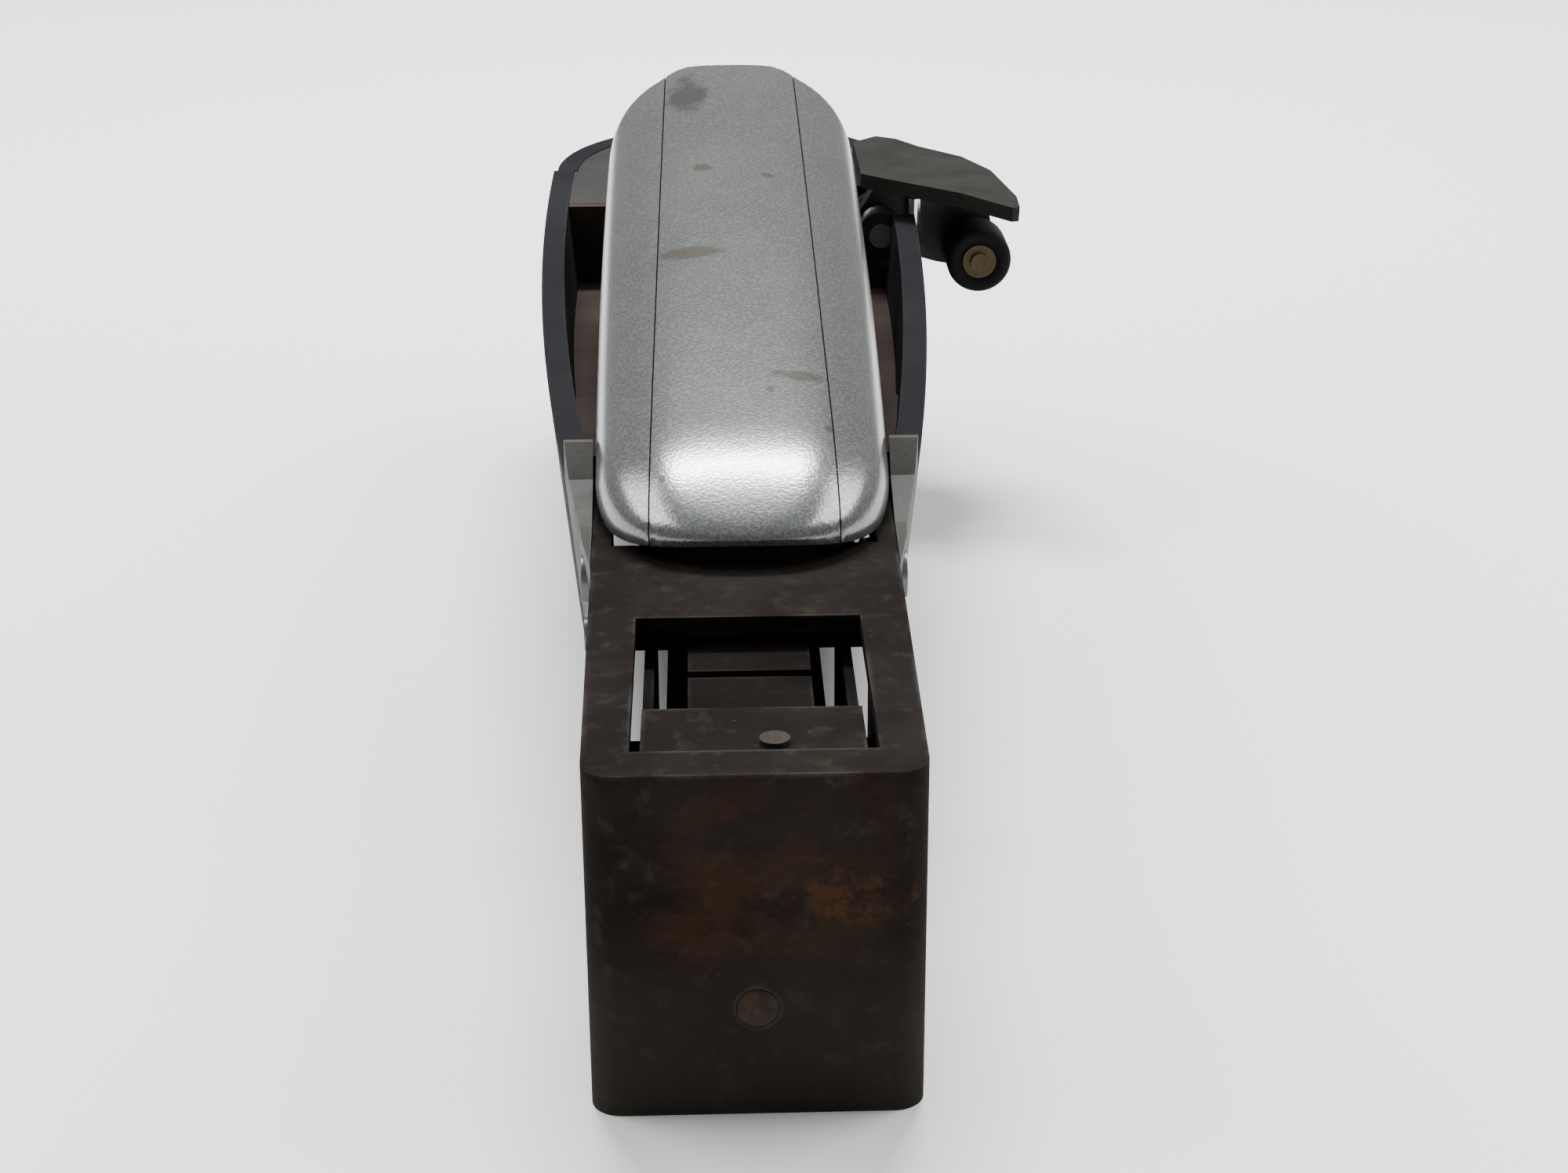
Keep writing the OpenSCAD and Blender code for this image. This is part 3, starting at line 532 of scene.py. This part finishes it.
def handle_low(y):
    """Lower edge of the silver shell: it lifts toward the front."""
    lift = max(0.0, (2 - y) / (2 - HANDLE_FRONT))
    return HANDLE_LOW + HANDLE_RISE * lift * lift


def liner_low(y):
    """Lower edge of the black liner: it stays just clear of the nose top."""
    level = TOP + NOSE_GAP - PIVOT.z
    return max(HANDLE_LOW - LINER_SHOWS, (level - y * sin(radians(HANDLE_OPEN))) / cos(radians(HANDLE_OPEN)))


def plan_half(y, inset):
    """Half width of the shell's rounded plan at y."""
    front, back = HANDLE_FRONT + inset, HANDLE_FRONT + HANDLE_LEN - inset
    ahead = min(1.0, max(0.0, (front + FRONT_REACH - y) / FRONT_REACH))
    behind = min(1.0, max(0.0, (y - back + REAR_REACH) / REAR_REACH))
    narrowing = (1 - ahead ** 2.5) ** (1 / 2.5) * (1 - behind ** 2.2) ** (1 / 2.2)
    return (handle_half(y) - inset) * narrowing


def shell_height(x, y, inset, low_edge):
    """Height of the shell's outside over the point x, y of its plan."""
    low = low_edge(y)
    front, back = HANDLE_FRONT + inset, HANDLE_FRONT + HANDLE_LEN - inset
    ahead = min(1.0, max(0.0, (front + FRONT_BEND - y) / FRONT_BEND))
    behind = min(1.0, max(0.0, (y - back + REAR_BEND) / REAR_BEND))
    bend = (1 - ahead ** 2.6) ** (1 / 2.6) * (1 - behind ** 2.4) ** (1 / 2.4)
    full, plan = handle_half(y) - inset, plan_half(y, inset)
    across = full if y > HANDLE_MID else max(plan, 1e-6)
    section = (1 - min(1.0, abs(x) / across) ** 2.6) ** (1 / 2.6)
    reach = CORNER_REACH * min(1.0, (full - plan) / 3) if y > HANDLE_MID else 0.0
    to_edge = min(1.0, max(0.0, 1 - (plan - abs(x)) / max(reach, 1e-4)))
    corner = (1 - to_edge ** 2.4) ** (1 / 2.4)
    return low + (handle_crown(y) - inset - low) * bend * section * corner


def shell_rows(inset, count=90):
    """Places along the handle, close together where its ends round off."""
    front, back = HANDLE_FRONT + inset, HANDLE_FRONT + HANDLE_LEN - inset
    middle = (front + back) / 2
    half = (back - front) / 2
    places = []
    for i in range(count + 1):
        t = 2 * i / count - 1
        bent = 1 - (1 - abs(t)) ** 1.9
        places.append(middle + half * (bent if t > 0 else -bent))
    return places


def crossing(edge, inset, low, high):
    """The place between low and high where the plan is exactly as wide as edge(y)."""
    wider_low = plan_half(low, inset) > edge(low)
    for _ in range(40):
        middle = (low + high) / 2
        if (plan_half(middle, inset) > edge(middle)) == wider_low:
            low = middle
        else:
            high = middle
    return low if wider_low else high


def strip_half(y):
    return STRIP_HALF - STRIP_TAPER * (y - HANDLE_FRONT) / HANDLE_LEN


def shell_piece(name, left, right, inset, low_edge, thickness, columns, edge=None):
    """A thin crowned shell between two edges, given as functions of y."""
    places = shell_rows(inset)
    if edge:
        middle = (places[0] + places[-1]) / 2
        places += [crossing(edge, inset, places[0], middle), crossing(edge, inset, middle, places[-1])]
    points, rows = [], 0
    for y in sorted(places):
        reach = plan_half(y, inset)
        a, b = max(left(y), -reach), min(right(y), reach)
        if b < a - 1e-6:
            continue
        rows += 1
        for k in range(columns + 1):
            x = a + (b - a) * (1 - cos(pi * k / columns)) / 2
            points.append(TO_ROW @ Vector((x, y, shell_height(x, y, inset, low_edge))))
    piece = link_mesh(name, points, grid_faces(rows, columns + 1))
    middle_face = piece.data.polygons[len(piece.data.polygons) // 2]
    if middle_face.normal.z < 0:
        piece.data.flip_normals()
    modifier(piece, "SOLIDIFY", thickness=thickness * MM, offset=-1)
    modifier(piece, "BEVEL", width=0.14 * MM, segments=2, limit_method="ANGLE", angle_limit=radians(50),
             harden_normals=True)
    return piece


def make_handle():
    def out_of_reach(y):
        return 2 * HANDLE_HALF

    def seam_edge(y):
        return strip_half(y) + SEAM

    strip = shell_piece("handle_centre_strip", lambda y: -strip_half(y), strip_half, 0, handle_low,
                        SHELL_SHEET, 26, edge=strip_half)
    settle(strip, "handle_strip")
    right = shell_piece("handle_right_shell", seam_edge, out_of_reach, 0, handle_low, SHELL_SHEET, 18,
                        edge=seam_edge)
    settle(right, "handle_side_right")
    left = shell_piece("handle_left_shell", lambda y: -out_of_reach(y), lambda y: -seam_edge(y), 0,
                       handle_low, SHELL_SHEET, 18, edge=seam_edge)
    settle(left, "handle_side_left")
    liner = shell_piece("handle_black_liner", lambda y: -out_of_reach(y), out_of_reach, LINER_INSET,
                        liner_low, LINER_SHEET, 40)
    settle(liner, "handle_liner")


# ------------------------------------------------------------------ springs
def coil_path(radius, height, turns, steps=18):
    count = int(turns * steps)
    path = []
    for i in range(count + 1):
        share = i / count
        flat = min(1.0, max(0.0, (share * turns - 0.8) / (turns - 1.6)))
        turn = 2 * pi * turns * share
        path.append((radius * cos(turn), radius * sin(turn), height * flat + (share - flat) * 0.6))
    return path


def make_coil(name, node, axis, wire, turns):
    """A coil in the box of its CAD node, along axis."""
    centre = centre_of(node)
    low, high = span_of(node, axis)
    across = (axis + 1) % 3
    radius = (span_of(node, across)[1] - span_of(node, across)[0]) / 2 - wire / 2
    path = coil_path(radius, high - low - wire, turns)
    placed = []
    for a, b, c in path:
        point = Vector(centre)
        point[axis] = low + wire / 2 + c
        point[(axis + 1) % 3] += a
        point[(axis + 2) % 3] += b
        placed.append(point)
    return settle(swept_tube(name, placed, wire / 2), node)


def make_springs():
    main = make_coil("main_coil", "main_spring", 2, 0.9, 4.5)
    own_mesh(main)
    feed = make_coil("pusher_coil", "pusher_spring", 1, 0.55, 32)
    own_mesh(feed)
    make_coil("handle_coil", "return_spring", 0, 0.75, 3.2)
    make_coil("lever_coil", "lever_spring", 1, 0.6, 4.6)


# ------------------------------------------------------------------ staples, screws, rivets, roller
def join_meshes(name, pieces):
    """One object out of several, with their modifiers applied."""
    made = bmesh.new()
    for piece in pieces:
        evaluated = piece.evaluated_get(bpy.context.evaluated_depsgraph_get())
        made.from_mesh(evaluated.to_mesh())
        bpy.data.objects.remove(piece)
    mesh = bpy.data.meshes.new(name)
    made.to_mesh(mesh)
    made.free()
    mesh.shade_smooth()
    joined = bpy.data.objects.new(name, mesh)
    bpy.context.collection.objects.link(joined)
    return joined


def make_staples():
    """The glued strip: one bent wire after another, close together."""
    (left, front, low), (right, back, high) = (Vector(corner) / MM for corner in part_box("staples"))
    pitch, half, bend = 0.62, 0.26, 0.5
    wires = []
    for i in range(int((back - front) / pitch)):
        y = front + pitch * (i + 0.5)
        path = [(left + half, y, low)]
        for side, turn in ((left, 1), (right, -1)):
            corner = [(side + turn * (half + bend * (1 - cos(radians(a)))), y,
                       high - half - bend * (1 - sin(radians(a)))) for a in (0, 30, 60, 90)]
            path += corner if turn > 0 else corner[::-1]
        path.append((right - half, y, low))
        wires.append(swept_tube("wire", path, half, 6))
    settle(join_meshes("staple_strip", wires), "staples")


SCREW_AT = (92, 127)                           # behind the nose face
GRIP_HALF, GRIP_WIDE_AT, GRIP_BOW = 20.5, 135, 604


def make_screw_heads():
    """Pan heads with a cross recess, and the shanks behind them."""
    heads = []
    for y_at in SCREW_AT:
        for side in (-1, 1):
            box_low, box_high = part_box("grip_screws")
            outer = box_high[0] / MM if side > 0 else box_low[0] / MM
            y = FRONT + y_at
            z = (box_low[2] + box_high[2]) / (2 * MM)
            slope = (abs(outer) - screw_face(y_at)) if y_at == SCREW_AT[0] else 0.0
            top = outer - side * slope
            profile = [(0.0, 0.0), (1.9, 0.0), (2.35, 0.12), (2.55, 0.4), (2.55, 0.85), (1.25, 0.9),
                       (1.25, 8.0), (0.0, 8.0)]
            turned_profile = [(radius, -side * along) for radius, along in profile]
            head = turned("head", turned_profile, (top, y, z), "x", 36)
            cut = cross_cutter((top, y, z), side)
            slot = head.modifiers.new("recess", "BOOLEAN")
            slot.operation = "DIFFERENCE"
            slot.use_self = True
            slot.object = cut
            bpy.context.view_layer.update()
            heads.append(join_meshes("head", [head]))
            bpy.data.objects.remove(cut)
    settle(join_meshes("grip_screw_heads", heads), "grip_screws")


def screw_face(y_at):
    """How far out a screw head's face lies, y_at behind the nose face."""
    return grip_bow(y_at) - (grip_bow(SCREW_AT[1]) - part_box("grip_screws")[1][0] / MM)


def grip_bow(y_at):
    """Half width of the grip, y_at behind the nose face."""
    return GRIP_HALF - (y_at - GRIP_WIDE_AT) ** 2 / (2 * GRIP_BOW)


def cross_cutter(at, side):
    """Two crossed bars for the recess of a screw head."""
    long, thin, deep = 1.35, 0.28, 0.6
    made = bmesh.new()
    for across, up in ((long, thin), (thin, long)):
        corners = [Vector((at[0] + x, at[1] + y * across, at[2] + z * up)) * MM
                   for x in (0.4 * side, -deep * side) for y in (-1, 1) for z in (-1, 1)]
        verts = [made.verts.new(corner) for corner in corners]
        bmesh.ops.convex_hull(made, input=verts)
    mesh = bpy.data.meshes.new("recess_bars")
    made.to_mesh(mesh)
    made.free()
    cutter = bpy.data.objects.new("recess_bars", mesh)
    bpy.context.collection.objects.link(cutter)
    cutter.hide_render = True
    return cutter


def make_roller():
    """Rubber tyre with rounded shoulders, on a flanged bush."""
    centre = centre_of("roller")
    low, high = span_of("roller", 1)
    radius = (span_of("roller", 2)[1] - span_of("roller", 2)[0]) / 2
    bore = (span_of("roller_hub", 2)[1] - span_of("roller_hub", 2)[0]) / 2
    length = high - low
    shoulder = 0.7
    profile = [(bore + 0.01, 0.0)]
    for k in range(7):
        turn = radians(15 * k)
        profile.append((radius - shoulder * (1 - sin(turn)), shoulder * (1 - cos(turn))))
    profile += [(r, length - along) for r, along in reversed(profile[1:])]
    profile += [(bore + 0.01, length), (bore + 0.01, 0.0)]
    tyre = turned("roller_tyre", profile, (centre.x, low, centre.z), "y", 56)
    settle(tyre, "roller")


def make_rivet(name, node, axis, low_end, height, radius):
    """Domed rivet head on its shank; low_end is where the dome stands proud."""
    centre = centre_of(node)
    low, high = span_of(node, axis)
    steps = 7
    profile = [(0.0, 0.0)]
    for k in range(1, steps + 1):
        turn = radians(90 * k / steps)
        profile.append((radius * sin(turn), height * (1 - cos(turn))))
    profile += [(radius, high - low), (0.0, high - low)]
    at = Vector(centre)
    at[axis] = low if low_end else high
    if not low_end:
        profile = [(r, -along) for r, along in profile]
    piece = turned(name, profile, at, "xyz"[axis], 40)
    settle(piece, node)


def make_rail_pull():
    """Ribbed finger pull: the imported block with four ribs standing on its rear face's top."""
    low, high = (Vector(corner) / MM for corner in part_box("rail_pull"))
    outline_half = (high.x - low.x) / 2
    start = low.y
    step_at = FRONT + 168.4
    block = [
        ((-outline_half + 0.5, start, low.z), (outline_half - 0.5, high.y - 0.45, high.z)),
        ((-outline_half, step_at, low.z), (outline_half, high.y - 0.45, 4.2)),
    ]
    ribs = [((-outline_half + 1.2, high.y - 0.6, z), (outline_half - 1.2, high.y, z + 0.7))
            for z in (5.0, 6.4, 7.8, 9.2)]
    solids = [soften(box_mesh("part", *corners), 0.3 if n < 2 else 0.15)
              for n, corners in enumerate(block + ribs)]
    bpy.context.view_layer.update()
    settle(join_meshes("rail_finger_pull", solids), "rail_pull")


def box_mesh(name, low, high):
    """A box between two corners, as mesh data for a larger piece."""
    points = [(x, y, z) for x in (low[0], high[0]) for y in (low[1], high[1]) for z in (low[2], high[2])]
    faces = [(0, 1, 3, 2), (4, 6, 7, 5), (0, 4, 5, 1), (2, 3, 7, 6), (0, 2, 6, 4), (1, 5, 7, 3)]
    return link_mesh(name, points, faces)


# ------------------------------------------------------------------ CAD nodes that stay
SOFT_EDGES = {
    "nose_housing": 0.45, "guide_channel": 0.12, "spring_seat": 0.2, "cheek_left": 0.8,
    "cheek_right": 0.8, "grip_left": 0.8, "grip_right": 0.8, "grip_tray": 0.3, "rear_deck": 0.3,
    "magazine_channel": 0.2, "channel_bridge": 0.12, "catch_leaf": 0.1, "pivot_pin": 0.3, "rocker_pin": 0.25,
    "bumper": 0.2, "lever_bracket": 0.15, "lever_axle": 0.25, "handle_frame": 0.15, "handle_screws": 0.2,
    "actuator_pin": 0.2, "rocker": 0.15, "plunger": 0.25, "driver_blade": 0.06, "lever_plate": 0.5,
    "lever_arm": 0.25, "roller_pin": 0.15, "staple_rail": 0.1, "guide_rod": 0.1,
    "pusher": 0.15, "plunger_rivets": 0.15, "lever_stud": 0.3, "roller_hub": 0.15,
}

make_camera()
make_studio()
bpy.ops.mesh.primitive_plane_add(size=4, location=(0, 0, 0))
floor = bpy.context.object
floor.name = "floor"
floor.data.materials.append(floor_paint())

for node_name, edge_width in SOFT_EDGES.items():
    dress_cad_node(node_name, edge_width)
make_handle()
make_springs()
make_staples()
make_screw_heads()
make_roller()
make_rivet("nose_face_rivet", "nose_rivet", 1, True, 0.25, 1.5)
make_rail_pull()
